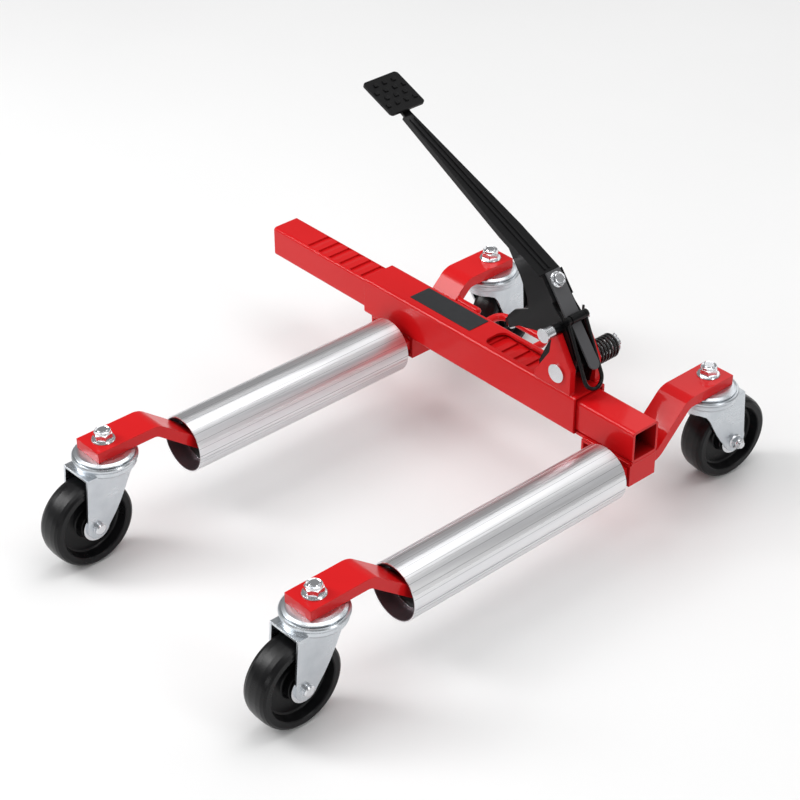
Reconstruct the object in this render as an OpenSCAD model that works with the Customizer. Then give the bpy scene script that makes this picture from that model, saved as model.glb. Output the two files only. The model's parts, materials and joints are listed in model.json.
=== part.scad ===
/* [Beam] */
// Height of the beam axis above the floor
beam_z = 120.1; // [118:0.1:123]
// Distance of the beam axis behind the centre of the footprint
beam_y = 155.5; // [150:0.5:160]
// Outside width of the square sleeve tube
sleeve_w = 47; // [46:0.5:50]
// Wall of the sleeve tube and of the rail tube
tube_wall = 3; // [2.5:0.1:3.2]
// Length of the sleeve tube
sleeve_len = 341; // [335:1:345]
// Outside width of the square rail tube
rail_w = 38.4; // [37:0.1:39]
// Length of the rail tube
rail_len = 595; // [590:1:600]
// Pitch of the ratchet teeth on the rail
tooth_pitch = 19.2; // [18:0.1:21]
// Number of ratchet teeth on the rail
tooth_count = 21; // [10:1:21]

/* [Legs] */
// X of the left leg bar's centre line
left_x = -73; // [-75:0.5:-70]
// X of the right leg bar's centre line, at the closed end of the stroke
right_x = 268.5; // [266:0.5:270]
// Distance of the caster bolts in front of and behind the origin
caster_y = 280; // [275:1:285]
// Width of the flat leg bar
bar_w = 39; // [36:0.5:39]
// Thickness of the flat leg bar
bar_t = 12; // [10:0.5:12]
// Angle of the front joggle in the leg bar
joggle = 38; // [35:1:42]
// Angle of the rear joggle in the leg bar
rear_joggle = 44; // [42:1:46]

/* [Rollers] */
// Outside radius of the rollers
roller_r = 32.5; // [32:0.5:33]
// Wall of the rollers
roller_wall = 2.05; // [1.8:0.05:2.2]
// Length of the rollers
roller_len = 300; // [290:1:302]

/* [Casters] */
// Radius of the caster wheels
wheel_r = 50; // [48:0.5:51]
// Width of the caster wheels
wheel_w = 33; // [30:0.5:33]
// Distance of the axle behind the swivel axis
trail = 30; // [26:0.5:32]
// Radius of the fork's crown
crown_r = 36; // [35:0.5:37]

/* [Foot lever] */
// Height of the main pivot above the floor
pivot_z = 163.5; // [163:0.1:164.5]
// X of the main pivot
pivot_x = 182; // [180:0.5:184]
// Slope of the lever arm
arm_slope = 24.75; // [23:0.25:26]
// Length of the lever arm
arm_len = 247; // [240:1:250]
// Width of the pedal pad
pad_w = 50; // [46:1:54]
// Length of the pedal pad
pad_l = 53; // [50:1:56]

/* [Hidden] */
$fn = 64;

red = [0.80, 0.06, 0.07];
black = [0.05, 0.05, 0.06];
zinc = [0.78, 0.80, 0.84];
bright = [0.88, 0.88, 0.90];
steel_grey = [0.45, 0.45, 0.47];
plastic = [0.07, 0.07, 0.08];

// Beam: the rail rests on the bottom wall of the sleeve
run_gap = 0.3;
sleeve_left = pivot_x - 314;
sleeve_right = sleeve_left + sleeve_len;
sleeve_top = beam_z + sleeve_w / 2;
sleeve_bottom = beam_z - sleeve_w / 2;
rail_z = sleeve_bottom + tube_wall + run_gap + rail_w / 2;
rail_top = rail_z + rail_w / 2;
rail_bottom = rail_z - rail_w / 2;
rail_right = right_x + 23;
rail_left = rail_right - rail_len;
first_tooth = rail_left + 60.5;
tooth_depth = 2.2;
tooth_ramp = 11;
tooth_w = 32;
window_w = 32;
window_corner = 10;
window_left = pivot_x - 122;
window_right = pivot_x - 16;

// Ears stand flush with the faces of the sleeve
ear_t = 8;
ear_in = sleeve_w / 2 - ear_t;
ear_base = sleeve_top - pivot_z;
ear_outline = [[-33.5, ear_base], [-33.5, -12.5], [-12.5, 20.5], [-10, 41],
    [-6, 45.2], [-2, 45.5], [19.6, 9.5], [19.6, ear_base]];
pin_r = 6;
slide_fit = 0.05;

// Legs: the arm ends are level, the middle runs through the roller and the block
block_len = 71;
block_w = 40;
block_front = beam_y - 21.5;
block_h = 25.9;
block_wall = 3;
block_bottom = sleeve_bottom - block_h;
arm_z = 132.8;
low_z = sleeve_bottom - block_wall - 0.1 - bar_t / 2;
bend_r = 18;
bar_front = -caster_y - 20.5;
bar_rear = caster_y + 18.5;
front_bend = -230;
rear_bend = 235;
bend_steps = 10;
function joggle_run(a) = 2 * bend_r * sin(a)
    + (arm_z - low_z - 2 * bend_r * (1 - cos(a))) / tan(a);

// Rollers
roller_z = 85.4;
roller_front = -181;
bush_t = 12;
bush_front = roller_front + 22;
bush_rear = roller_front + roller_len - 16 - bush_t;
ring_t = 1.6;
ring_gap = 0.5;
groove_count = 12;

// Casters, in a local frame: swivel axis on Z, wheel trailing along +X
axle_z = wheel_r;
arm_bottom = arm_z - bar_t / 2;
arm_top = arm_z + bar_t / 2;
leg_in = wheel_w / 2 + 2;
leg_t = 2.8;
king_r = 6;
axle_r = 4;
ball_r = 2.5;
ball_ring_r = 24.5;
ball_count = 22;
race_seat = 118.7;
hub_half = wheel_w / 2 + 0.4;
plate_low = 110;
plate_top = plate_low + 2.8;
ring_top = 122.5;
front_left_turn = -89.5;
front_right_turn = -90.2;
rear_left_turn = 100;
rear_right_turn = 83.6;

// Lever, in a local frame: the main pivot at the origin, at rest
cheek_out = 15;
cheek_t = 3;
web_t = 3;
arm_low = [-39.1, 99];
arm_taper = 66;
neck_half = 5.6;
pawl_pin_at = [-6.5, 50.8];
pawl_pin_r = 4.5;
spacer_r = 5.1;
heel_gap = 0.4;
strip_at = [-29, 93.4];
strip_slope = 52.3;
strip_t = 2.4;
tab_t = 5;
strip_half = 10;
tongue_half = 7;
bar_seat = 44.8;
cross_r = 5.2;
cross_at = strip_at + bar_seat * [cos(strip_slope), -sin(strip_slope)]
    + (strip_t / 2 + cross_r - 1.4) * [sin(strip_slope), cos(strip_slope)];
stub_r = 2.5;
bail_r = 2.2;
bail_half = 12.8;
bail_foot = [35.8, -12.5];
cheek_outline = [[-39.1, 97.6], [-15, 69.5], [-0.5, 57], [8, 42], [17, 19.5], [17.5, 4],
    [12.5, ear_base + heel_gap], [3, -15], [-14, -12], [-21, -2], [-27, 14], [-17, 40],
    [-28, 39.5], [-37.3, 31.7], [-53, 27.8], [-68.2, 24.6], [-82.5, 15], [-85.2, 29.8],
    [-75.1, 41.8], [-54.3, 52.2], [-56.9, 66.9], [-68.4, 87.9], [-89.3, 116.6], [-86, 119]];
toe_outline = [[1.5, 1.2], [-9, -1.3], [-12.5, 1], [-13, 4], [-1, 15.9]];

// Return spring on the rear end of the main pin
coil_r = 12.5;
wire_r = 1.5;
coil_turns = 7;
coil_start = 27;
coil_end = 60.5;
pin_hole_y = 65.8;
coil_steps = 16;
wire_sides = 8;

// ---------- shared shapes ----------
function arc(c, r, a0, a1, n) =
    [for (i = [0:n]) let (a = a0 + (a1 - a0) * i / n) c + r * [cos(a), sin(a)]];

function reversed(list) = [for (i = [len(list) - 1:-1:0]) list[i]];

module rounded_square(w, h, r) {
    square([w - 2 * r, h], center = true);
    square([w, h - 2 * r], center = true);
    for (sx = [-1, 1], sy = [-1, 1])
        translate([sx * (w / 2 - r), sy * (h / 2 - r)]) circle(r);
}

// A bar along X with the section given as children
module along_x(x, length) {
    translate([x, 0, 0]) rotate([90, 0, 90]) linear_extrude(length) children();
}

// An upright plate: its outline is drawn in X and Z, its thickness runs from y0 to y1
module plate_y(y0, y1) {
    translate([0, y1, 0]) rotate([90, 0, 0]) linear_extrude(y1 - y0) children();
}

// A round bar along Y
module round_y(x, z, r, y0, y1) {
    translate([x, y0, z]) rotate([-90, 0, 0]) cylinder(r = r, h = y1 - y0);
}

module on_beam() {
    translate([0, beam_y, 0]) children();
}

module at_pivot() {
    translate([pivot_x, beam_y, pivot_z]) children();
}

// ---------- beam ----------
module tube_section(w, wall) {
    difference() {
        rounded_square(w, w, 4);
        rounded_square(w - 2 * wall, w - 2 * wall, 1.5);
    }
}

module sleeve_tube() {
    color(red) on_beam() difference() {
        translate([0, 0, beam_z]) along_x(sleeve_left, sleeve_len) tube_section(sleeve_w, tube_wall);
        translate([0, 0, sleeve_top - tube_wall - 1]) linear_extrude(tube_wall + 2) {
            for (side = [-1, 1])
                translate([window_left + window_corner, side * (window_w / 2 - window_corner)])
                    circle(window_corner);
            translate([window_left, window_corner - window_w / 2])
                square([window_corner, window_w - 2 * window_corner]);
            translate([window_left + window_corner, -window_w / 2])
                square([window_right - window_left - window_corner, window_w]);
        }
    }
}

module ear(y0) {
    at_pivot() difference() {
        plate_y(y0, y0 + ear_t) polygon(ear_outline);
        round_y(0, 0, pin_r + slide_fit, y0 - 1, y0 + ear_t + 1);
        if (y0 > 0) round_y(-coil_r, -17.2, wire_r + 0.3, y0 + 2, y0 + ear_t + 1);
    }
}

module front_ear() {
    color(red) ear(-sleeve_w / 2);
}

module rear_ear() {
    color(red) ear(ear_in);
}

module label_plate() {
    color([0.13, 0.13, 0.14]) on_beam() translate([-14.5, 2.5, sleeve_top])
        linear_extrude(0.5) rounded_square(99, 30, 1);
}

// A round-bar loop on the rear face of the sleeve
module rear_handle() {
    rod = 4.5;
    reach = 42;
    corner = 12;
    left = 7;
    right = 83;
    color(red) translate([0, beam_y + sleeve_w / 2, beam_z]) {
        for (x = [left, right]) round_y(x, 0, rod, 0, reach - corner);
        translate([left + corner, reach, 0]) rotate([0, 90, 0])
            cylinder(r = rod, h = right - left - 2 * corner);
        for (side = [0, 1])
            translate([side == 0 ? left + corner : right - corner, reach - corner, 0])
                rotate([0, 0, side == 0 ? 90 : 0])
                    rotate_extrude(angle = 90) translate([corner, 0]) circle(rod);
    }
}

// A round peg on the side of the left leg bar
module stow_peg() {
    peg_r = 4.5;
    peg_len = 32;
    color(red) translate([left_x + bar_w / 2, 210, 116.5]) {
        rotate([0, 90, 0]) cylinder(r = peg_r, h = peg_len);
        translate([peg_len, 0, 0]) sphere(peg_r);
    }
}

// ---------- legs ----------
// One edge of the bar from front to back: side is 1 for the top and -1 for the bottom
function bar_edge(side) = concat(
    [[bar_front, arm_z + side * bar_t / 2]],
    arc([front_bend, arm_z - bend_r], bend_r + side * bar_t / 2, 90, 90 - joggle, bend_steps),
    arc([front_bend + joggle_run(joggle), low_z + bend_r], bend_r - side * bar_t / 2,
        270 - joggle, 270, bend_steps),
    arc([rear_bend - joggle_run(rear_joggle), low_z + bend_r], bend_r - side * bar_t / 2,
        270, 270 + rear_joggle, bend_steps),
    arc([rear_bend, arm_z - bend_r], bend_r + side * bar_t / 2, 90 + rear_joggle, 90, bend_steps),
    [[bar_rear, arm_z + side * bar_t / 2]]);

module leg_bar(x) {
    color(red) difference() {
        along_x(x - bar_w / 2, bar_w) polygon(concat(bar_edge(1), reversed(bar_edge(-1))));
        for (y = [-caster_y, caster_y])
            translate([x, y, arm_bottom - 1]) cylinder(r = king_r + 0.2, h = bar_t + 2);
    }
}

module leg_block(x) {
    color(red) translate([x + 23 - block_len, block_front, block_bottom]) difference() {
        cube([block_len, block_w, block_h]);
        translate([block_wall, -1, block_wall])
            cube([block_len - 2 * block_wall, block_w + 2, block_h - 2 * block_wall]);
    }
}

module left_leg_block() {
    leg_block(left_x);
}

module right_leg_block() {
    leg_block(right_x);
}

module left_leg_bar() {
    leg_bar(left_x);
}

module right_leg_bar() {
    leg_bar(right_x);
}

// ---------- rail ----------
module rail_tube() {
    color(red) on_beam() difference() {
        translate([0, 0, rail_z]) along_x(rail_left, rail_len) tube_section(rail_w, tube_wall);
        for (i = [0:tooth_count - 1])
            translate([first_tooth + i * tooth_pitch, 0, rail_top])
                plate_y(-tooth_w / 2, tooth_w / 2)
                    polygon([[0, 1], [0, -tooth_depth], [tooth_ramp, 0], [tooth_ramp, 1]]);
    }
}

module rail_end_plug() {
    plug_w = rail_w - 2 * tube_wall - 0.2;
    color(red) on_beam() translate([0, 0, rail_z]) along_x(rail_left, 5)
        rounded_square(plug_w, plug_w, 1.4);
}

module rail_spacer_plate() {
    color(red) translate([sleeve_right + 1, beam_y - rail_w / 2, sleeve_bottom])
        cube([rail_right - sleeve_right - 1, rail_w, rail_bottom - sleeve_bottom]);
}

// ---------- rollers ----------
module roller(x) {
    groove_w = 1.4;
    groove_depth = 0.5;
    color(bright) translate([x, roller_front, roller_z]) rotate([-90, 0, 0]) difference() {
        cylinder(r = roller_r, h = roller_len, $fn = 96);
        translate([0, 0, -1]) cylinder(r = roller_r - roller_wall, h = roller_len + 2, $fn = 96);
        for (i = [0:groove_count - 1])
            rotate(i * 360 / groove_count + 7)
                translate([roller_r - groove_depth, -groove_w / 2, -1])
                    cube([3, groove_w, roller_len + 2]);
    }
}

module roller_bushes(x) {
    gap = 0.1;
    color(steel_grey) for (y = [bush_front, bush_rear]) difference() {
        round_y(x, roller_z, roller_r - roller_wall - slide_fit, y, y + bush_t);
        translate([x - bar_w / 2 - gap, y - 1, low_z - bar_t / 2 - gap])
            cube([bar_w + 2 * gap, bush_t + 2, bar_t + 2 * gap]);
    }
}

module roller_rings(x) {
    bore = roller_r - roller_wall;
    color(steel_grey)
        for (y = [bush_front - ring_gap - ring_t, bush_rear + bush_t + ring_gap])
            difference() {
                round_y(x, roller_z, bore, y, y + ring_t);
                round_y(x, roller_z, bore - 3, y - 1, y + ring_t + 1);
            }
}

module left_roller() {
    roller(left_x);
}

module right_roller() {
    roller(right_x);
}

module left_roller_bushes() {
    roller_bushes(left_x);
}

module right_roller_bushes() {
    roller_bushes(right_x);
}

module left_roller_rings() {
    roller_rings(left_x);
}

module right_roller_rings() {
    roller_rings(right_x);
}

// ---------- main pivot ----------
module main_pivot_pin() {
    head_r = 10.8;
    head_t = 2.2;
    rear_end = 70;
    color(zinc) at_pivot() difference() {
        union() {
            round_y(0, 0, pin_r, -sleeve_w / 2 - 0.1, rear_end);
            round_y(0, 0, head_r, -sleeve_w / 2 - 0.1 - head_t, -sleeve_w / 2 - 0.1);
        }
        translate([0, pin_hole_y, -pin_r - 1]) cylinder(r = 1.7, h = 2 * pin_r + 2);
    }
}

module pivot_washer() {
    color(zinc) at_pivot() difference() {
        round_y(0, 0, 11, 62.4, 63.8);
        round_y(0, 0, pin_r + 0.2, 62, 65);
    }
}

module pivot_cotter() {
    wire = 0.7;
    half = 0.76;
    low = -pin_r - 2.6;
    color(zinc) at_pivot() translate([0, pin_hole_y, 0]) {
        for (side = [-1, 1]) {
            translate([side * half, 0, low]) cylinder(r = wire, h = pin_r + 1.2 - low, $fn = 24);
            translate([side * half, 0, low + 0.6]) rotate([0, side * 125, 0])
                cylinder(r = 0.6, h = 7, $fn = 24);
        }
        translate([0, 0, pin_r + 3.4]) rotate([90, 0, 0])
            rotate_extrude() translate([2.3, 0]) circle(0.8, $fn = 24);
    }
}

// Centre line of the spring: a straight leg, the coil, and a leg hooked into the ear
function spring_path() = concat(
    [[-coil_r - 0.6, coil_start, 58], [-coil_r, coil_start, 8]],
    [for (i = [0:coil_turns * coil_steps])
        let (a = 180 + i * 360 / coil_steps)
        [coil_r * cos(a), coil_start + (coil_end - coil_start) * i / (coil_turns * coil_steps),
            coil_r * sin(a)]],
    [[-coil_r, coil_end, -14], [-coil_r, coil_end - 3, -17.2], [-coil_r, ear_in + 4, -17.2]]);

// A round wire swept along a list of points
module wire(points, r, sides) {
    last = len(points) - 1;
    function step(a) = a / norm(a);
    function tangent(i) = step(points[min(i + 1, last)] - points[max(i - 1, 0)]);
    function across(i) = step(cross(tangent(i), abs(tangent(i)[1]) > 0.9 ? [1, 0, 0] : [0, 1, 0]));
    function rim(i) = [for (k = [0:sides - 1]) let (a = 360 * k / sides, u = across(i))
        points[i] + r * (cos(a) * u + sin(a) * cross(tangent(i), u))];
    polyhedron(
        points = [for (i = [0:last]) each rim(i)],
        faces = concat(
            [[for (k = [0:sides - 1]) k]],
            [for (i = [0:last - 1], k = [0:sides - 1])
                [i * sides + k, (i + 1) * sides + k,
                    (i + 1) * sides + (k + 1) % sides, i * sides + (k + 1) % sides]],
            [[for (k = [sides - 1:-1:0]) last * sides + k]]));
}

module return_spring() {
    color(black) at_pivot() wire(spring_path(), wire_r, wire_sides);
}

// ---------- foot lever ----------
// The frame of the lever arm: X up the arm, Y across, Z out of its top face
module on_arm() {
    translate([arm_low[0], 0, arm_low[1]]) rotate([0, arm_slope, 0]) mirror([1, 0, 0]) children();
}

module arm_plate() {
    on_arm() translate([0, 0, -web_t]) linear_extrude(web_t)
        polygon([[0, -cheek_out], [arm_taper, -cheek_out], [arm_len, -neck_half],
            [arm_len + 14, -neck_half], [arm_len + 14, neck_half], [arm_len, neck_half],
            [arm_taper, cheek_out], [0, cheek_out]]);
}

// The turned-down edge along each side of the arm, and the ribs on its top
module arm_flanges() {
    flange_h = 7;
    on_arm() for (side = [-1, 1]) {
        translate([0, 0, -flange_h]) linear_extrude(flange_h)
            polygon([[0, side * cheek_out], [arm_taper, side * cheek_out],
                [arm_len, side * neck_half], [arm_len, side * (neck_half - cheek_t)],
                [arm_taper, side * (cheek_out - cheek_t)], [0, side * (cheek_out - cheek_t)]]);
        translate([4, side * 3.2 - 1, -0.5]) cube([arm_len - 12, 2, 1.7]);
    }
}

// The end of a toe, bent inwards
module toe_tip(side) {
    translate([-82.8, side * (cheek_out - 0.8), 15]) rotate([0, 0, side * 24])
        plate_y(side > 0 ? -cheek_t : 0, side > 0 ? 0 : cheek_t) polygon(toe_outline);
}

module foot_lever() {
    tab_from = -10;
    tab_to = 20;
    color(black) at_pivot() difference() {
        union() {
            arm_plate();
            arm_flanges();
            for (side = [-1, 1]) {
                plate_y(side > 0 ? cheek_out - cheek_t : -cheek_out,
                    side > 0 ? cheek_out : cheek_t - cheek_out) polygon(cheek_outline);
                toe_tip(side);
            }
            translate([strip_at[0], 0, strip_at[1]]) rotate([0, strip_slope, 0])
                translate([tab_from, -cheek_out, -strip_t / 2 - tab_t])
                    cube([tab_to - tab_from, 2 * cheek_out, tab_t]);
        }
        round_y(0, 0, pin_r + slide_fit, -20, 20);
        round_y(pawl_pin_at[0], pawl_pin_at[1], pawl_pin_r + slide_fit, -20, 20);
        translate([strip_at[0], 0, strip_at[1]]) rotate([0, strip_slope, 0])
            translate([0, 0, -8]) cylinder(r = 4.1, h = 16);
    }
}

// A rounded plate with rows of raised studs
module pedal_pad() {
    pad_t = 3;
    tilt = 22.5;
    stud_h = 1.4;
    color(black) at_pivot() translate([-286, 0, 219.8]) rotate([0, tilt, 0]) {
        translate([0, 0, -pad_t]) linear_extrude(pad_t) rounded_square(pad_l, pad_w, 4.5);
        for (row = [0:3]) {
            count = row % 2 == 0 ? 3 : 4;
            for (i = [0:count - 1])
                translate([-17.2 + 10.4 * row, (i - (count - 1) / 2) * 13, -0.5]) {
                    cylinder(r = 2.6, h = stud_h + 0.5, $fn = 24);
                    rotate([0, 0, 45]) translate([-3.2, -0.8, 0]) cube([6.4, 1.6, stud_h + 0.2]);
                    rotate([0, 0, -45]) translate([-3.2, -0.8, 0]) cube([6.4, 1.6, stud_h + 0.2]);
                }
        }
    }
    color(black) at_pivot() on_arm() plate_y(-neck_half, neck_half)
        polygon([[arm_len + 3, 0], [arm_len + 3, 4.5], [arm_len + 14, 4.1], [arm_len + 14, 0]]);
}

module drive_pawl() {
    hub_r = 6.3;
    tip_z = ear_base + 2.3;
    color(steel_grey) at_pivot() difference() {
        union() {
            round_y(pawl_pin_at[0], pawl_pin_at[1], hub_r, -11, -1);
            plate_y(-11, -1) polygon([[-12, 53.9], [-39, -7], [-38, tip_z],
                [-31, tip_z], [-1.5, 47]]);
        }
        round_y(pawl_pin_at[0], pawl_pin_at[1], pawl_pin_r + slide_fit, -12, 0);
    }
}

module pawl_pin() {
    head_r = 8.2;
    color(zinc) at_pivot() {
        round_y(pawl_pin_at[0], pawl_pin_at[1], pawl_pin_r, -35, 26);
        round_y(pawl_pin_at[0], pawl_pin_at[1], 7, -38.5, -28);
        round_y(pawl_pin_at[0], pawl_pin_at[1], head_r, -41, -38.5);
    }
}

module pawl_pin_spacer() {
    color(black) at_pivot() difference() {
        round_y(pawl_pin_at[0], pawl_pin_at[1], spacer_r, -28, -cheek_out);
        round_y(pawl_pin_at[0], pawl_pin_at[1], pawl_pin_r, -29, -cheek_out + 1);
    }
}

module pawl_pin_ring() {
    color(zinc) at_pivot() difference() {
        round_y(pawl_pin_at[0], pawl_pin_at[1], spacer_r, cheek_out, cheek_out + 1.5);
        round_y(pawl_pin_at[0], pawl_pin_at[1], pawl_pin_r, cheek_out - 1, cheek_out + 3);
    }
}

// The frame of the release strip: X down the strip, Z out of its top face
module on_strip() {
    at_pivot() translate([strip_at[0], 0, strip_at[1]]) rotate([0, strip_slope, 0]) children();
}

module release_strip() {
    neck = bar_seat + 4;
    tip = 104;
    color(steel_grey) on_strip() translate([0, 0, -strip_t / 2]) linear_extrude(strip_t)
        difference() {
            union() {
                translate([-11, -strip_half]) square([neck + 11, 2 * strip_half]);
                translate([neck - 1, -tongue_half])
                    square([tip - tongue_half - neck + 1, 2 * tongue_half]);
                translate([tip - tongue_half, 0]) circle(tongue_half);
            }
            circle(4.1);
        }
}

module strip_bolt() {
    color(bright) on_strip() translate([0, 0, strip_t / 2]) {
        cylinder(r = 8.8, h = 1.6);
        cylinder(r = 7.5, h = 6.4, $fn = 6);
        translate([0, 0, 6.3]) cylinder(r1 = 6.2, r2 = 5.6, h = 0.5);
        translate([0, 0, -14]) cylinder(r = 4, h = 14.5);
    }
}

module strip_nut() {
    color(bright) on_strip() translate([0, 0, -strip_t / 2 - tab_t - 5.5]) difference() {
        cylinder(r = 7.4, h = 5.5, $fn = 6);
        translate([0, 0, -1]) cylinder(r = 4, h = 8);
    }
}

module cross_bar() {
    color(black) at_pivot() difference() {
        union() {
            round_y(cross_at[0], cross_at[1], cross_r, -9.5, 9.5);
            round_y(cross_at[0], cross_at[1], stub_r, -15.2, 15.2);
        }
        translate([strip_at[0], 0, strip_at[1]]) rotate([0, strip_slope, 0])
            translate([bar_seat - 10, -10, strip_t / 2 - 6]) cube([20, 20, 6]);
    }
}

// A wire loop that hangs from the stubs of the cross bar
module release_bail() {
    drop = bail_foot - cross_at;
    lean = atan2(drop[0], -drop[1]);
    leg = norm(drop) - bail_half;
    color(black) at_pivot() translate([cross_at[0], 0, cross_at[1]]) rotate([0, -lean, 0])
        difference() {
            union() {
                for (side = [-1, 1]) {
                    translate([0, side * bail_half, -leg]) cylinder(r = bail_r, h = leg);
                    round_y(0, 0, 4.6, side * bail_half - bail_r, side * bail_half + bail_r);
                }
                translate([0, 0, -leg]) rotate([90, 0, 90]) rotate([0, 0, 180])
                    rotate_extrude(angle = 180) translate([bail_half, 0]) circle(bail_r);
            }
            round_y(0, 0, stub_r + slide_fit, -20, 20);
        }
}

module holding_pawl() {
    tip_z = rail_top - pivot_z + 1;
    color(steel_grey) at_pivot() difference() {
        union() {
            round_y(0, 0, 10, 1, 11);
            plate_y(1, 11) polygon([[-4, 9], [-38, -14], [-38, tip_z], [-31, tip_z], [-4, -9]]);
        }
        round_y(0, 0, pin_r + slide_fit, 0, 12);
    }
}

// ---------- casters ----------
module caster_at(x, y, turn) {
    translate([x, y, 0]) rotate([0, 0, turn]) children();
}

module race_pair(x) {
    color(zinc) for (y = [-caster_y, caster_y]) translate([x, y, 0]) rotate_extrude()
        polygon([[king_r + 0.2, arm_bottom], [24, arm_bottom], [29, arm_bottom - 0.7],
            [32.2, ring_top + 2.2], [32.2, ring_top + 0.4], [30.9, ring_top + 0.4],
            [30.9, race_seat - 1.6], [29.8, race_seat - 1.6], [29.4, race_seat],
            [19, race_seat], [18, race_seat - 0.9], [king_r + 0.2, race_seat - 0.9]]);
}

module king_bolts(x) {
    head_top = plate_low - 0.3;
    head_h = 5;
    color(bright) for (y = [-caster_y, caster_y]) translate([x, y, 0]) {
        translate([0, 0, head_top - head_h]) cylinder(r = 9.5, h = head_h);
        translate([0, 0, head_top - 1]) cylinder(r = king_r, h = arm_top + 12.7 - head_top);
        translate([0, 0, arm_top + 11.6]) cylinder(r1 = king_r, r2 = king_r - 0.9, h = 1);
    }
}

module king_nuts(x) {
    color(bright) for (y = [-caster_y, caster_y]) translate([x, y, arm_top]) difference() {
        union() {
            cylinder(r1 = 12.8, r2 = 12, h = 2.2);
            cylinder(r = 10.4, h = 9, $fn = 6);
            cylinder(r = 8.7, h = 11);
            translate([0, 0, 11]) cylinder(r1 = 8.7, r2 = 7.9, h = 0.8);
        }
        translate([0, 0, -1]) cylinder(r = king_r, h = 14);
    }
}

module swivel_balls(x) {
    color(bright) for (y = [-caster_y, caster_y]) translate([x, y, 0])
        for (i = [0:ball_count - 1]) rotate(i * 360 / ball_count)
            translate([ball_ring_r, 0, race_seat - ball_r]) sphere(ball_r, $fn = 24);
}

// The fork's side wall seen from above: two straight sides joined by a half round
module wall_plan() {
    bow_x = -8;
    outer = leg_in + leg_t;
    difference() {
        union() {
            translate([bow_x, 0]) circle(outer);
            translate([bow_x, -outer]) square([44 - bow_x, 2 * outer]);
        }
        translate([bow_x, 0]) circle(leg_in);
        translate([bow_x, -leg_in]) square([60, 2 * leg_in]);
    }
}

// A pressed fork: a ball cup on a top plate, and a wall that tapers to the axle on each side
module fork(x, y, turn) {
    boss_r = 13;
    outer = leg_in + leg_t;
    color(zinc) caster_at(x, y, turn) difference() {
        union() {
            rotate_extrude() polygon([[king_r + slide_fit, plate_low],
                [king_r + slide_fit, plate_top], [19, plate_top], [20.5, plate_top + 0.6],
                [28.5, plate_top + 0.6], [31.4, plate_top + 2], [31.4, ring_top - 0.9],
                [32.3, ring_top], [34.2, ring_top - 0.2], [35.2, ring_top - 1.5],
                [35.2, ring_top - 3.5], [34.2, ring_top - 4.9], [33.4, ring_top - 6],
                [33.4, plate_low + 2.6], [32.6, plate_low + 0.6], [31.8, plate_low]]);
            translate([20, -outer, plate_low]) cube([18, 2 * outer, plate_top - plate_low]);
            intersection() {
                translate([0, 0, 30]) linear_extrude(plate_top - 30) wall_plan();
                plate_y(-outer - 1, outer + 1) {
                    polygon([[-30, 101.7], [-22.7, 101], [-16, 98], [-11, 91], [-6, 81], [0, 70],
                        [7, 59], [14.5, 49.5], [20.5, 41.3], [30, 45], [42.9, 52], [38, 112.8],
                        [-30, 112.8]]);
                    translate([trail, axle_z]) circle(boss_r);
                }
            }
        }
        round_y(trail, axle_z, axle_r + 0.05, -30, 30);
    }
}

// A moulded wheel: crowned tread, deep smooth dish and stepped hub
module wheel(x, y, turn) {
    half = wheel_w / 2;
    web_half = 5;
    rim_in = wheel_r - 10.5;
    hub_r = 17;
    color(plastic) caster_at(x, y, turn) translate([trail, 0, axle_z]) rotate([90, 0, 0])
        rotate_extrude($fn = 96) polygon([[axle_r + slide_fit, -hub_half], [11.4, -hub_half],
            [12, -hub_half + 0.6], [12.2, -half + 1.9], [hub_r - 0.6, -half + 1.9],
            [hub_r, -half + 2.5], [hub_r + 1.2, -web_half - 1], [hub_r + 2.4, -web_half],
            [rim_in - 5, -web_half], [rim_in - 3, -web_half - 1], [rim_in - 0.6, -half + 1],
            [rim_in + 0.4, -half], [wheel_r - 4.5, -half],
            [wheel_r - 2, -half + 1.6], [wheel_r - 0.6, -half + 5.5], [wheel_r, -5], [wheel_r, 5],
            [wheel_r - 0.6, half - 5.5], [wheel_r - 2, half - 1.6], [wheel_r - 4.5, half],
            [rim_in + 0.4, half], [rim_in - 0.6, half - 1], [rim_in - 3, web_half + 1],
            [rim_in - 5, web_half], [hub_r + 2.4, web_half], [hub_r + 1.2, web_half + 1],
            [hub_r, half - 2.5], [hub_r - 0.6, half - 1.9], [12.2, half - 1.9],
            [12, hub_half - 0.6], [11.4, hub_half], [axle_r + slide_fit, hub_half]]);
}

// The axle bolt carries a spacer washer on each side of the hub
module axle_bolt(x, y, turn) {
    face = leg_in + leg_t;
    washer_in = hub_half + 0.3;
    color(bright) caster_at(x, y, turn) {
        round_y(trail, axle_z, axle_r, -face - 11, face + 0.5);
        round_y(trail, axle_z, 16.4, washer_in, leg_in);
        round_y(trail, axle_z, 16.4, -leg_in, -washer_in);
        translate([trail, face, axle_z]) rotate([-90, 0, 0]) {
            cylinder(r = 7, h = 1.2);
            cylinder(r = 6.4, h = 4.4);
            translate([0, 0, 4.4]) cylinder(r1 = 6.4, r2 = 4.6, h = 1);
        }
    }
}

module axle_nut(x, y, turn) {
    face = leg_in + leg_t;
    color(bright) caster_at(x, y, turn) translate([trail, -face, axle_z]) rotate([90, 0, 0])
        difference() {
            union() {
                cylinder(r = 8.4, h = 1.2);
                cylinder(r = 7.4, h = 6.8, $fn = 6);
                cylinder(r = 6, h = 8.6);
            }
            translate([0, 0, -1]) cylinder(r = axle_r, h = 11);
        }
}

module left_upper_races() {
    race_pair(left_x);
}

module right_upper_races() {
    race_pair(right_x);
}

module left_king_bolts() {
    king_bolts(left_x);
}

module right_king_bolts() {
    king_bolts(right_x);
}

module left_king_nuts() {
    king_nuts(left_x);
}

module right_king_nuts() {
    king_nuts(right_x);
}

module left_swivel_balls() {
    swivel_balls(left_x);
}

module right_swivel_balls() {
    swivel_balls(right_x);
}

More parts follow.
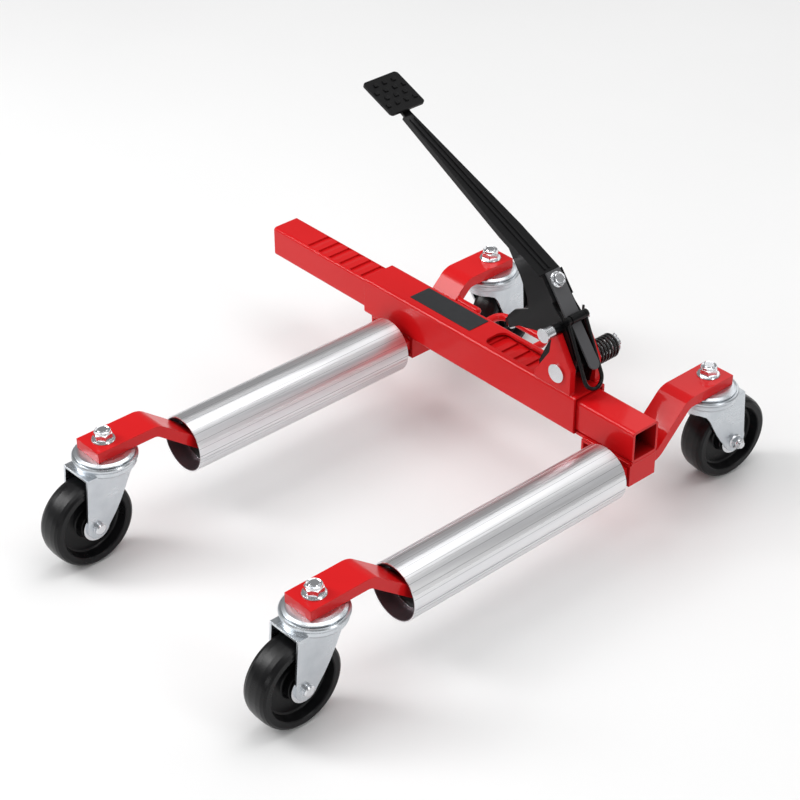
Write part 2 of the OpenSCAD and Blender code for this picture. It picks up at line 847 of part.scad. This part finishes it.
module front_left_fork() {
    fork(left_x, -caster_y, front_left_turn);
}

module front_right_fork() {
    fork(right_x, -caster_y, front_right_turn);
}

module rear_left_fork() {
    fork(left_x, caster_y, rear_left_turn);
}

module rear_right_fork() {
    fork(right_x, caster_y, rear_right_turn);
}

module front_left_wheel() {
    wheel(left_x, -caster_y, front_left_turn);
}

module front_right_wheel() {
    wheel(right_x, -caster_y, front_right_turn);
}

module rear_left_wheel() {
    wheel(left_x, caster_y, rear_left_turn);
}

module rear_right_wheel() {
    wheel(right_x, caster_y, rear_right_turn);
}

module front_left_axle_bolt() {
    axle_bolt(left_x, -caster_y, front_left_turn);
}

module front_right_axle_bolt() {
    axle_bolt(right_x, -caster_y, front_right_turn);
}

module rear_left_axle_bolt() {
    axle_bolt(left_x, caster_y, rear_left_turn);
}

module rear_right_axle_bolt() {
    axle_bolt(right_x, caster_y, rear_right_turn);
}

module front_left_axle_nut() {
    axle_nut(left_x, -caster_y, front_left_turn);
}

module front_right_axle_nut() {
    axle_nut(right_x, -caster_y, front_right_turn);
}

module rear_left_axle_nut() {
    axle_nut(left_x, caster_y, rear_left_turn);
}

module rear_right_axle_nut() {
    axle_nut(right_x, caster_y, rear_right_turn);
}

sleeve_tube();
front_ear();
rear_ear();
label_plate();
rear_handle();
stow_peg();
left_leg_block();
left_leg_bar();
rail_tube();
rail_end_plug();
rail_spacer_plate();
right_leg_block();
right_leg_bar();
left_roller();
right_roller();
left_roller_bushes();
right_roller_bushes();
left_roller_rings();
right_roller_rings();
main_pivot_pin();
pivot_washer();
pivot_cotter();
return_spring();
foot_lever();
pedal_pad();
drive_pawl();
pawl_pin();
pawl_pin_spacer();
pawl_pin_ring();
release_strip();
strip_bolt();
strip_nut();
cross_bar();
release_bail();
holding_pawl();
left_upper_races();
right_upper_races();
left_king_bolts();
right_king_bolts();
left_king_nuts();
right_king_nuts();
left_swivel_balls();
right_swivel_balls();
front_left_fork();
front_right_fork();
rear_left_fork();
rear_right_fork();
front_left_wheel();
front_right_wheel();
rear_left_wheel();
rear_right_wheel();
front_left_axle_bolt();
front_right_axle_bolt();
rear_left_axle_bolt();
rear_right_axle_bolt();
front_left_axle_nut();
front_right_axle_nut();
rear_left_axle_nut();
rear_right_axle_nut();
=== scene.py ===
import json
import math
import random

import bmesh
import bpy
from mathutils import Matrix, Vector


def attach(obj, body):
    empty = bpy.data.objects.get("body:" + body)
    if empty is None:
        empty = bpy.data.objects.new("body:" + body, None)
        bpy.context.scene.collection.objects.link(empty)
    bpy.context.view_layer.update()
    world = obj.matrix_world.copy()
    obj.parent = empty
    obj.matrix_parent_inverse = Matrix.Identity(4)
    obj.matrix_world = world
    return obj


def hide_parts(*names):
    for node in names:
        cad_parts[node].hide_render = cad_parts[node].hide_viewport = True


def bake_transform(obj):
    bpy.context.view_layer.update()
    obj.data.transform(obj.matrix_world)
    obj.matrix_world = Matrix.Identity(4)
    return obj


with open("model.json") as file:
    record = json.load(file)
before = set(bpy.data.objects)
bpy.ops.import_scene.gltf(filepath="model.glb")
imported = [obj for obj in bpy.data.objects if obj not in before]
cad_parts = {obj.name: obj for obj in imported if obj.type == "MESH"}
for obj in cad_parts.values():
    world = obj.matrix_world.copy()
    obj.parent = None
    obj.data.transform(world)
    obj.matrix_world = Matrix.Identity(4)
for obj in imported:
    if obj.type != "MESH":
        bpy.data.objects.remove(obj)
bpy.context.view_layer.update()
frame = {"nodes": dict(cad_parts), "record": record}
nodes = frame["nodes"]
scene = bpy.context.scene

# Places and sizes of the CAD that the pieces below meet, in metres
BEAM_Y = 0.1555
SLEEVE_TOP, SLEEVE_BOTTOM = 0.1436, 0.0966
# the rail's bore is square: its middle height, half its width, and the X of its open end
RAIL_Z, RAIL_BORE, RAIL_MOUTH = 0.1191, 0.0166, 0.2915
# the rollers' axes lie ROLLER_APART to either side of ROLLER_MID
ROLLER_Z, ROLLER_MID, ROLLER_APART, ROLLER_BORE = 0.0854, 0.09775, 0.17075, 0.0314
PIVOT = Vector((0.182, BEAM_Y, 0.1635))

# The casters and the fasteners, in millimetres
MM = 0.001
LEFT_LEG_X, RIGHT_LEG_X, CASTER_Y = -73.0, 268.5, 280.0
ARM_TOP, AXLE_Z, TRAIL, LEG_FACE = 138.8, 50.0, 30.0, 21.3


# ---------------------------------------------------------------- materials
class Graph:
    """A material's node tree with short calls for the nodes used here."""

    def __init__(self, name):
        self.material = bpy.data.materials.new(name)
        self.material.use_nodes = True
        self.tree = self.material.node_tree
        self.shader = self.tree.nodes["Principled BSDF"]
        self.place = self.add("ShaderNodeTexCoord").outputs["Object"]

    def add(self, kind, inputs=None, **settings):
        node = self.tree.nodes.new(kind)
        for key, value in settings.items():
            setattr(node, key, value)
        for key, value in (inputs or {}).items():
            self.feed(node.inputs[key], value)
        return node

    def feed(self, socket, value):
        if isinstance(value, bpy.types.NodeSocket):
            self.tree.links.new(value, socket)
        else:
            socket.default_value = value

    def set(self, **values):
        for key, value in values.items():
            self.feed(self.shader.inputs[key.replace("_", " ")], value)

    def stretched(self, scale):
        return self.add("ShaderNodeMapping", {"Vector": self.place, "Scale": scale}).outputs[0]

    def noise(self, scale, detail=3.0, rough=0.5, vector=None):
        return self.add(
            "ShaderNodeTexNoise",
            {
                "Vector": vector or self.place,
                "Scale": scale,
                "Detail": detail,
                "Roughness": rough,
            },
        ).outputs["Fac"]

    def ramp(self, value, low, high, start, end):
        """value from low..high mapped to start..end, with its ends held."""
        return self.add(
            "ShaderNodeMapRange",
            {"Value": value, "From Min": low, "From Max": high, "To Min": start, "To Max": end},
        ).outputs[0]

    def mix(self, factor, first, second):
        node = self.add("ShaderNodeMix", data_type="RGBA")
        self.feed(node.inputs[0], factor)
        self.feed(node.inputs[6], first)
        self.feed(node.inputs[7], second)
        return node.outputs[2]

    def math(self, operation, first, second=0.0):
        node = self.add("ShaderNodeMath", operation=operation)
        self.feed(node.inputs[0], first)
        self.feed(node.inputs[1], second)
        return node.outputs[0]

    def axis(self, letter):
        return self.add("ShaderNodeSeparateXYZ", {"Vector": self.place}).outputs[letter]

    def away(self, letter, middle):
        """How far a point is from middle along one axis."""
        return self.math("ABSOLUTE", self.math("SUBTRACT", self.axis(letter), middle))

    def bump(self, height, distance, strength=1.0, edge=0.0):
        inputs = {"Height": height, "Distance": distance, "Strength": strength}
        if edge:
            inputs["Normal"] = self.add("ShaderNodeBevel", {"Radius": edge}, samples=4).outputs[0]
        return self.add("ShaderNodeBump", inputs).outputs[0]


def rgb(r, g, b):
    return (r, g, b, 1.0)


def powder_coat(name, colour, deep, rough, coat, gloss, peel=1.0, edge=0.0009, bore=False):
    """A sprayed and baked coat: faint orange peel, slow changes of tone and a sharp gloss; with bore set,
    painted shade darkens the rail's bore.
    """
    g = Graph(name)
    slow = g.noise(7.0, 2.0, 0.5)
    fine = g.noise(420.0, 2.0, 0.5)
    paint = g.mix(g.ramp(slow, 0.32, 0.68, 0.0, 1.0), deep, colour)
    if bore:
        # painted shade: the colour darkens to near black down the rail's bore, more so further in from its
        # open end
        across = g.math("MAXIMUM", g.away("Y", BEAM_Y), g.away("Z", RAIL_Z))
        inside = g.math("LESS_THAN", across, RAIL_BORE)
        shade_depth = g.ramp(g.axis("X"), RAIL_MOUTH, RAIL_MOUTH - 0.030, 0.25, 1.0)
        paint = g.mix(g.math("MULTIPLY", inside, shade_depth), paint, rgb(0.018, 0.003, 0.003))
    g.set(
        Base_Color=paint,
        Roughness=g.ramp(g.noise(18.0, 2.0, 0.5), 0.3, 0.7, rough * 0.9, rough * 1.15),
        Specular_IOR_Level=gloss,
        Coat_Weight=coat,
        Coat_Roughness=0.04,
        Normal=g.bump(fine, 0.00004 * peel, 0.4, edge),
    )
    return g.material


def plated(name, colour, dull, rough, blotch=1.0, edge=0.0005):
    """Zinc plate on pressed or turned steel: soft blotches, spangle and faint scratches."""
    g = Graph(name)
    cloud = g.noise(28.0, 5.0, 0.62)
    grain = g.noise(900.0, 3.0, 0.6)
    scratch = g.noise(40.0, 4.0, 0.7, g.stretched((1.0, 1.0, 22.0)))
    wear = g.math("ADD", cloud, g.math("MULTIPLY", scratch, 0.5))
    g.set(
        Base_Color=g.mix(g.ramp(cloud, 0.3, 0.7, 0.0, blotch), colour, dull),
        Metallic=1.0,
        Roughness=g.ramp(wear, 0.45, 1.0, rough * 0.75, rough * 1.35),
        Normal=g.bump(grain, 0.00004, 0.5, edge),
    )
    return g.material


# how many lines of painted shade run round each roller
FACET_SHADE_LINES = 24


def roller_metal(name):
    """Drawn aluminium with fine grain; thin dark lines along its length are painted shade for its facet
    creases, and its bore is painted dark and faintly reddish as painted shade with a painted reflection of
    the red frame.
    """
    g = Graph(name)
    lines = g.noise(1.0, 4.0, 0.65, g.stretched((760.0, 5.0, 760.0)))
    broad = g.noise(1.0, 2.0, 0.5, g.stretched((80.0, 2.0, 80.0)))
    sideways = g.math("SUBTRACT", g.away("X", ROLLER_MID), ROLLER_APART)
    upward = g.away("Z", ROLLER_Z)
    across = g.math("POWER", g.math("ABSOLUTE", sideways), 2.0)
    squares = g.math("ADD", across, g.math("POWER", upward, 2.0))
    bore = g.math("LESS_THAN", squares, ROLLER_BORE**2)
    turn = g.math("ARCTAN2", sideways, upward)
    part = g.math("FRACT", g.math("MULTIPLY", turn, FACET_SHADE_LINES / (2 * math.pi)))
    # painted shade: thin dark lines at even turns round the axis stand in for the shading of facet creases
    facet_shade_line = g.math("LESS_THAN", part, 0.06)
    skin = g.mix(g.ramp(broad, 0.35, 0.65, 0.0, 1.0), rgb(0.88, 0.88, 0.89), rgb(0.76, 0.76, 0.78))
    skin = g.mix(g.math("MULTIPLY", facet_shade_line, 0.7), skin, rgb(0.30, 0.30, 0.32))
    g.set(
        # painted shade with a faint painted reflection of the red frame: the bore is coloured dark and
        # reddish
        Base_Color=g.mix(bore, skin, rgb(0.10, 0.075, 0.085)),
        Metallic=g.ramp(bore, 0.0, 1.0, 1.0, 0.6),
        Roughness=g.math("ADD", g.ramp(lines, 0.3, 0.7, 0.30, 0.44), g.math("MULTIPLY", bore, 0.15)),
        Normal=g.bump(lines, 0.00008, 0.5, 0.0003),
    )
    return g.material


def moulded(name, colour, rough):
    """Injection-moulded plastic: fine erosion texture with slightly shinier patches."""
    g = Graph(name)
    fine = g.noise(1400.0, 3.0, 0.55)
    patch = g.noise(35.0, 4.0, 0.6)
    lighter = tuple(c * 1.6 + 0.004 for c in colour[:3]) + (1.0,)
    g.set(
        Base_Color=g.mix(g.ramp(patch, 0.4, 0.7, 0.0, 0.6), colour, lighter),
        Roughness=g.ramp(patch, 0.3, 0.7, rough * 0.85, rough * 1.2),
        Specular_IOR_Level=0.24,
        Normal=g.bump(fine, 0.00005, 0.6, 0.0006),
    )
    return g.material


def label_film(name):
    """A plain charcoal film with a slight grain and nothing printed on it."""
    g = Graph(name)
    fleck = g.noise(600.0, 3.0, 0.6)
    dark, pale = rgb(0.014, 0.015, 0.017), rgb(0.024, 0.025, 0.028)
    g.set(
        Base_Color=g.mix(g.ramp(fleck, 0.35, 0.7, 0.0, 1.0), dark, pale),
        Roughness=g.ramp(fleck, 0.3, 0.7, 0.30, 0.42),
        Normal=g.bump(fleck, 0.00003, 0.4),
    )
    return g.material


RED, DEEP_RED = rgb(0.66, 0.008, 0.010), rgb(0.61, 0.006, 0.008)
BLACK, DEEP_BLACK = rgb(0.0045, 0.0045, 0.005), rgb(0.003, 0.003, 0.0035)
WIRE, DEEP_WIRE = rgb(0.006, 0.006, 0.007), rgb(0.004, 0.004, 0.004)
GREY, DEEP_GREY = rgb(0.10, 0.10, 0.104), rgb(0.075, 0.075, 0.08)
red = powder_coat("red_powder_coat", RED, DEEP_RED, 0.34, 0.34, 0.10)
# the rail's coat carries painted shade down its bore
rail_red_shaded = powder_coat("rail_powder_coat_painted_shade", RED, DEEP_RED, 0.34, 0.34, 0.10, bore=True)
black = powder_coat("black_powder_coat", BLACK, DEEP_BLACK, 0.30, 0.25, 0.10)
wire_black = powder_coat("black_spring_wire", WIRE, DEEP_WIRE, 0.22, 0.5, 0.3, peel=0.5, edge=0.0)
grey = powder_coat("grey_lever_strip", GREY, DEEP_GREY, 0.36, 0.15, 0.3)
zinc = plated("zinc_plate", rgb(0.68, 0.71, 0.74), rgb(0.55, 0.585, 0.62), 0.27)
bright = plated("bright_zinc", rgb(0.80, 0.81, 0.83), rgb(0.66, 0.68, 0.71), 0.20, blotch=0.7, edge=0.0003)
aluminium = roller_metal("roller_aluminium")
plastic = moulded("wheel_polyolefin", rgb(0.0042, 0.0042, 0.0048), 0.30)
nylon = moulded("bush_nylon", rgb(0.012, 0.011, 0.011), 0.5)
film = label_film("label_film")
by_slot = {
    "red_paint": red,
    "black_paint": black,
    "spring_black": wire_black,
    "label_film": film,
    "roller_aluminium": aluminium,
    "wheel_plastic": plastic,
    "zinc_plate": zinc,
    "grey_steel": grey,
    "bush_plastic": nylon,
    "bright_zinc": bright,
}
slot_of = {s["node"]: s["material_slot"] for s in frame["record"]["subparts"]}


def dress(obj, material):
    obj.data.materials.clear()
    obj.data.materials.append(material)


for name, obj in nodes.items():
    dress(obj, rail_red_shaded if name == "rail_tube" else by_slot[slot_of[name]])
    for polygon in obj.data.polygons:
        polygon.material_index = 0


# ---------------------------------------------------------------- mesh helpers
def new_piece(name, bm, body, material, smooth):
    """A mesh piece from bm, smooth up to an angle in degrees, that rides on body unless body is None."""
    mesh = bpy.data.meshes.new(name)
    bmesh.ops.recalc_face_normals(bm, faces=bm.faces)
    bm.to_mesh(mesh)
    bm.free()
    obj = bpy.data.objects.new(name, mesh)
    scene.collection.objects.link(obj)
    dress(obj, material)
    mesh.shade_smooth()
    mesh.set_sharp_from_angle(angle=math.radians(smooth))
    if body:
        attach(obj, body)
    return obj


def sweep(bm, path, radii, sides):
    """A round rod with closed ends along path. radii has one number per point."""
    last = len(path) - 1
    out = None
    rings = []
    for i, point in enumerate(path):
        along = (path[min(i + 1, last)] - path[max(i - 1, 0)]).normalized()
        if out is None:
            pick = Vector((0, 0, 1)) if abs(along.z) < 0.9 else Vector((1, 0, 0))
            out = along.cross(pick).normalized()
        out = (out - along * out.dot(along)).normalized()
        side = along.cross(out)
        ring = []
        for k in range(sides):
            angle = 2 * math.pi * k / sides
            ring.append(bm.verts.new(point + radii[i] * (math.cos(angle) * out + math.sin(angle) * side)))
        rings.append(ring)
    for a, b in zip(rings, rings[1:]):
        for k in range(sides):
            bm.faces.new((a[k], a[(k + 1) % sides], b[(k + 1) % sides], b[k]))
    bm.faces.new(rings[0][::-1])
    bm.faces.new(rings[-1])


# ---------------------------------------------------------------- camera, light, floor
SENSOR, LENS = 36.0, 94.68765
azimuth, elevation, roll = (math.radians(a) for a in (48.1227, 33.8908, -0.1704))
forward = Vector(
    (
        -math.sin(azimuth) * math.cos(elevation),
        math.cos(azimuth) * math.cos(elevation),
        -math.sin(elevation),
    )
)
right = Vector((math.cos(azimuth), math.sin(azimuth), 0.0))
upward = right.cross(forward)
right, upward = (
    math.cos(roll) * right + math.sin(roll) * upward,
    math.cos(roll) * upward - math.sin(roll) * right,
)
camera_data = bpy.data.cameras.new("camera")
camera_data.sensor_width = SENSOR
camera_data.lens = LENS
camera_data.clip_start = 0.05
camera_data.clip_end = 30.0
camera = bpy.data.objects.new("camera", camera_data)
scene.collection.objects.link(camera)
basis = Matrix((right, upward, -forward)).transposed().to_4x4()
camera.matrix_world = Matrix.Translation(Vector((1.4717, -1.2497, 1.3938))) @ basis
scene.camera = camera


def area_light(name, place, aim, size, power):
    """A soft rectangular lamp at place that points at aim."""
    data = bpy.data.lights.new(name, "AREA")
    data.shape = "RECTANGLE"
    data.size, data.size_y = size
    data.energy = power
    obj = bpy.data.objects.new(name, data)
    scene.collection.objects.link(obj)
    obj.location = place
    obj.rotation_euler = (Vector(aim) - Vector(place)).to_track_quat("-Z", "Y").to_euler()


LOW_MIDDLE = (0, 0, 0.1)
area_light("key", (-1.3, -1.5, 2.6), LOW_MIDDLE, (1.8, 1.8), 34)
area_light("rim", (-1.97, -1.78, 1.87), LOW_MIDDLE, (0.9, 1.3), 30)
area_light("top", (0.2, 0.5, 3.0), LOW_MIDDLE, (2.4, 2.4), 40)
area_light("back", (0.1, 3.2, 2.0), LOW_MIDDLE, (4.4, 1.6), 26)
area_light("right_strip", (2.6, 0.4, 1.3), (0.1, 0.1, 0.15), (0.6, 2.0), 13)
area_light("front_strip", (0.9, -2.7, 1.0), LOW_MIDDLE, (2.0, 0.6), 9)

world = bpy.data.worlds.new("studio")
scene.world = world
world.use_nodes = True
sky = world.node_tree.nodes["Background"]
sky.inputs["Color"].default_value = rgb(1, 1, 1)
sky.inputs["Strength"].default_value = 0.27

floor_graph = Graph("pale_floor")
shade = floor_graph.ramp(floor_graph.noise(2.0), 0.3, 0.7, 0.0, 1.0)
floor_graph.set(
    Base_Color=floor_graph.mix(shade, rgb(0.86, 0.86, 0.86), rgb(0.88, 0.88, 0.88)),
    Roughness=0.75,
)
bm = bmesh.new()
bmesh.ops.create_grid(bm, x_segments=2, y_segments=2, size=14.0)
mesh = bpy.data.meshes.new("floor")
bm.to_mesh(mesh)
bm.free()
floor = bpy.data.objects.new("floor", mesh)
scene.collection.objects.link(floor)
dress(floor, floor_graph.material)

scene.view_settings.view_transform = "Standard"
scene.view_settings.look = "None"

# ---------------------------------------------------------------- return spring
COIL_R, WIRE_R, TURNS = 0.0125, 0.0015, 7
COIL_START, COIL_END = 0.027, 0.0605
COIL_STEPS = 36


def spring_path():
    """The wire's middle line: the leg up the foot lever, the coil, then the hook into the rear ear."""

    def at(x, y, z):
        return PIVOT + Vector((x, y, z))

    points = [at(-COIL_R - 0.0006, COIL_START, 0.058), at(-COIL_R - 0.0003, COIL_START, 0.034)]
    points += [at(-COIL_R, COIL_START, z) for z in (0.018, 0.009, 0.004)]
    steps = TURNS * COIL_STEPS
    for i in range(steps + 1):
        a = math.pi + 2 * math.pi * i / COIL_STEPS
        y = COIL_START + (COIL_END - COIL_START) * i / steps
        points.append(at(COIL_R * math.cos(a), y, COIL_R * math.sin(a)))
    points += [at(-COIL_R, COIL_END, z) for z in (-0.005, -0.010, -0.0135)]
    points += [at(-COIL_R, COIL_END - 0.0006, -0.0158), at(-COIL_R, COIL_END - 0.0025, -0.0171)]
    points += [at(-COIL_R, COIL_END - 0.006, -0.0172), at(-COIL_R, 0.0195, -0.0172)]
    return points


bm = bmesh.new()
wire = spring_path()
sweep(bm, wire, [WIRE_R] * len(wire), 14)
spring = new_piece("return_spring_wire", bm, None, wire_black, 60)
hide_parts("return_spring")
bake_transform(spring)

# ---------------------------------------------------------------- nuts, bolts and threads
# each caster's place and its turn in degrees, as it stands at rest
CASTERS = {
    "front_left": (LEFT_LEG_X, -CASTER_Y, -89.5),
    "front_right": (RIGHT_LEG_X, -CASTER_Y, -90.2),
    "rear_left": (LEFT_LEG_X, CASTER_Y, 100.0),
    "rear_right": (RIGHT_LEG_X, CASTER_Y, 83.6),
}


def lathe(bm, place, profile, steps=96, closed=True):
    """Turns profile(angle), a list of (radius, height) in mm, round the Z axis of place."""
    rings = []
    for i in range(steps):
        angle = 2 * math.pi * i / steps
        rings.append(
            [
                bm.verts.new(place @ Vector((r * MM * math.cos(angle), r * MM * math.sin(angle), z * MM)))
                for r, z in profile(angle)
            ]
        )
    count = len(rings[0])
    for i in range(steps):
        a, b = rings[i], rings[(i + 1) % steps]
        for k in range(count if closed else count - 1):
            bm.faces.new((a[k], b[k], b[(k + 1) % count], a[(k + 1) % count]))
    if not closed:
        bm.faces.new([ring[0] for ring in rings])
        bm.faces.new([ring[-1] for ring in rings][::-1])


def hex_radius(angle, corner, turn=0.0):
    """The radius of a hexagon with corners at radius corner."""
    part = (angle + turn) % (math.pi / 3) - math.pi / 6
    return corner * math.cos(math.pi / 6) / math.cos(part)


def flange_nut(bm, place, bore, flange, base, corner, top, collar, end, turn=0.0):
    """A hexagon lock nut on a flange, its corners chamfered, with a rolled collar.

    bore, flange, corner and collar are radii; base, top and end are the heights of the flange,
    the hexagon and the collar.
    """
    flat = corner * math.cos(math.pi / 6)

    def profile(angle):
        r = hex_radius(angle, corner, turn)
        drop = max(0.0, r - flat + 0.15) * 0.6
        return [
            (bore, 0.0),
            (flange - 0.3, 0.0),
            (flange, 0.3),
            (flange, base * 0.35),
            (flange - 0.8, base * 0.8),
            (r + 0.35, base),
            (r, base + 0.4),
            (r, top - drop),
            (flat - 0.25, top),
            (collar + 0.1, top + 0.1),
            (collar, top + 0.4),
            (collar, end - 0.9),
            (collar - 0.25, end - 0.3),
            (collar - 0.8, end),
            (collar - 1.5, end - 0.3),
            (bore + 0.35, end - 1.1),
            (bore, end - 1.2),
        ]

    lathe(bm, place, profile)


def thread(bm, place, radius, start, stop, pitch):
    """Ridges of a thread round a shank."""
    points = [(radius - 0.5, start)]
    z = start
    while z + pitch <= stop + 1e-6:
        points += [(radius + 0.02, z + 0.05 * pitch), (radius + 0.32, z + 0.45 * pitch)]
        points += [(radius + 0.32, z + 0.55 * pitch), (radius + 0.02, z + 0.95 * pitch)]
        z += pitch
    points.append((radius - 0.5, z))
    lathe(bm, place, lambda angle: points, 48)


for side, body, x in (("left", "sleeve_frame", LEFT_LEG_X), ("right", "rail_frame", RIGHT_LEG_X)):
    bm = bmesh.new()
    for y, turn in ((-CASTER_Y, 0.35), (CASTER_Y, 0.9)):
        place = Matrix.Translation(Vector((x, y, ARM_TOP)) * MM)
        flange_nut(bm, place, 6.0, 12.8, 2.2, 10.4, 9.0, 8.7, 11.8, turn)
    nuts = new_piece(side + "_king_lock_nuts", bm, body, bright, 30)
    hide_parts(side + "_king_nuts")

ON_LEG = Matrix.Translation(Vector((TRAIL, -LEG_FACE, AXLE_Z)) * MM) @ Matrix.Rotation(math.pi / 2, 4, "X")
for corner_name, (x, y, turn) in CASTERS.items():
    swivel = corner_name + "_swivel_body"
    caster = Matrix.Translation(Vector((x, y, 0)) * MM) @ Matrix.Rotation(math.radians(turn), 4, "Z")
    bm = bmesh.new()
    flange_nut(bm, caster @ ON_LEG, 4.0, 8.4, 1.2, 7.4, 6.8, 6.0, 8.6, 0.5)
    nut = new_piece(corner_name + "_axle_lock_nut", bm, swivel, bright, 30)
    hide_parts(corner_name + "_axle_nut")
    bm = bmesh.new()
    thread(bm, caster @ ON_LEG, 4.0, 8.0, 10.8, 0.9)
    new_piece(corner_name + "_axle_thread", bm, swivel, bright, 20)

# the strip's flange bolt: its place, and how far its axis leans from upright in degrees
STRIP = PIVOT + Vector((-0.029, 0, 0.0934))
STRIP_LEAN = 52.3


def strip_bolt_profile(angle):
    """The bolt's shank, flange, hexagon and slightly dished head, in mm."""
    r = hex_radius(angle, 7.5, 0.4)
    drop = max(0.0, r - 6.35) * 0.6
    return [
        (4.0, -15.2),
        (4.0, 0.0),
        (8.5, 0.0),
        (8.8, 0.3),
        (8.8, 0.9),
        (8.2, 1.5),
        (r + 0.3, 1.8),
        (r, 2.2),
        (r, 6.4 - drop),
        (6.1, 6.45),
        (5.2, 6.45),
        (4.9, 6.2),
        (0.4, 6.2),
    ]


bm = bmesh.new()
on_strip = Matrix.Translation(STRIP) @ Matrix.Rotation(math.radians(STRIP_LEAN), 4, "Y")
lathe(bm, on_strip @ Matrix.Translation((0, 0, 0.0012)), strip_bolt_profile, closed=False)
bolt = new_piece("strip_flange_bolt", bm, "foot_lever_body", bright, 30)
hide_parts("strip_bolt")

# ---------------------------------------------------------------- weld beads
dice = random.Random(7)


def weld_bead(name, body, points, radius, step=0.0011):
    """A painted weld run along points, with the ripples of its pools."""
    path = []
    for a, b in zip(points, points[1:]):
        a, b = Vector(a), Vector(b)
        count = max(1, round((b - a).length / step))
        path += [a.lerp(b, i / count) for i in range(count)]
    path.append(Vector(points[-1]))
    wobble = Vector((0.0001, 0.0001, 0.0001))
    path = [point + wobble * dice.uniform(-1, 1) for point in path]
    radii = [
        radius * (0.86 + 0.12 * abs(math.sin(i * math.pi / 2.6)) + 0.05 * dice.random())
        for i in range(len(path))
    ]
    radii[0] = radii[-1] = radius * 0.45
    bm = bmesh.new()
    sweep(bm, path, radii, 10)
    new_piece(name, bm, body, red, 70)


def ring_points(centre, radius, count=28):
    """A circle round an axis along Y."""
    angles = [2 * math.pi * i / count for i in range(count + 1)]
    return [centre + Vector((radius * math.cos(a), 0, radius * math.sin(a))) for a in angles]


def peg_points(centre, radius, count=25, step=0.25):
    """An almost closed circle round an axis along X, in steps of step radians."""
    angles = [i * step for i in range(count + 1)]
    return [centre + Vector((0, radius * math.cos(a), radius * math.sin(a))) for a in angles]


# the two ears' short ends, then the long back foot of the rear ear
for name, near, far in (("front", -0.0235, -0.0155), ("rear", 0.0155, 0.0235)):
    near_y, far_y = BEAM_Y + near + 0.001, BEAM_Y + far - 0.001
    for end, x in (("right", 0.0198), ("left", -0.0337)):
        run = [(PIVOT.x + x, near_y, SLEEVE_TOP), (PIVOT.x + x, far_y, SLEEVE_TOP)]
        weld_bead(name + "_ear_" + end + "_weld", "sleeve_frame", run, 0.0017)
EAR_BACK_Y, EAR_BACK_Z = BEAM_Y + 0.0232, SLEEVE_TOP + 0.0004
ear_back = [(PIVOT.x - 0.032, EAR_BACK_Y, EAR_BACK_Z), (PIVOT.x + 0.018, EAR_BACK_Y, EAR_BACK_Z)]
weld_bead("rear_ear_back_weld", "sleeve_frame", ear_back, 0.0013)

# round both ends of the rear handle
HANDLE_Y, HANDLE_Z = BEAM_Y + 0.0237, 0.1201
for number, x in enumerate((0.007, 0.083)):
    around = ring_points(Vector((x, HANDLE_Y, HANDLE_Z)), 0.0049)
    weld_bead("handle_weld_%d" % number, "sleeve_frame", around, 0.0015)

# under the sleeve and the rail, along the leg blocks
LEFT_WELD_Y, LEFT_WELD_Z = 0.1342, SLEEVE_BOTTOM - 0.0006
left_run = [(-0.118, LEFT_WELD_Y, LEFT_WELD_Z), (-0.053, LEFT_WELD_Y, LEFT_WELD_Z)]
weld_bead("left_block_weld", "sleeve_frame", left_run, 0.0014)
RIGHT_WELD_Y, RIGHT_WELD_Z, RIGHT_END_X = 0.1352, 0.0981, 0.2905
right_run = [(0.2215, RIGHT_WELD_Y, RIGHT_WELD_Z), (0.2895, RIGHT_WELD_Y, RIGHT_WELD_Z)]
weld_bead("right_block_weld", "rail_frame", right_run, 0.0014)
right_end = [(RIGHT_END_X, 0.1375, RIGHT_WELD_Z), (RIGHT_END_X, 0.1725, RIGHT_WELD_Z)]
weld_bead("right_block_end_weld", "rail_frame", right_end, 0.0013)

around = peg_points(Vector((-0.0531, 0.210, 0.1165)), 0.0048)
weld_bead("stow_peg_weld", "sleeve_frame", around, 0.0012)
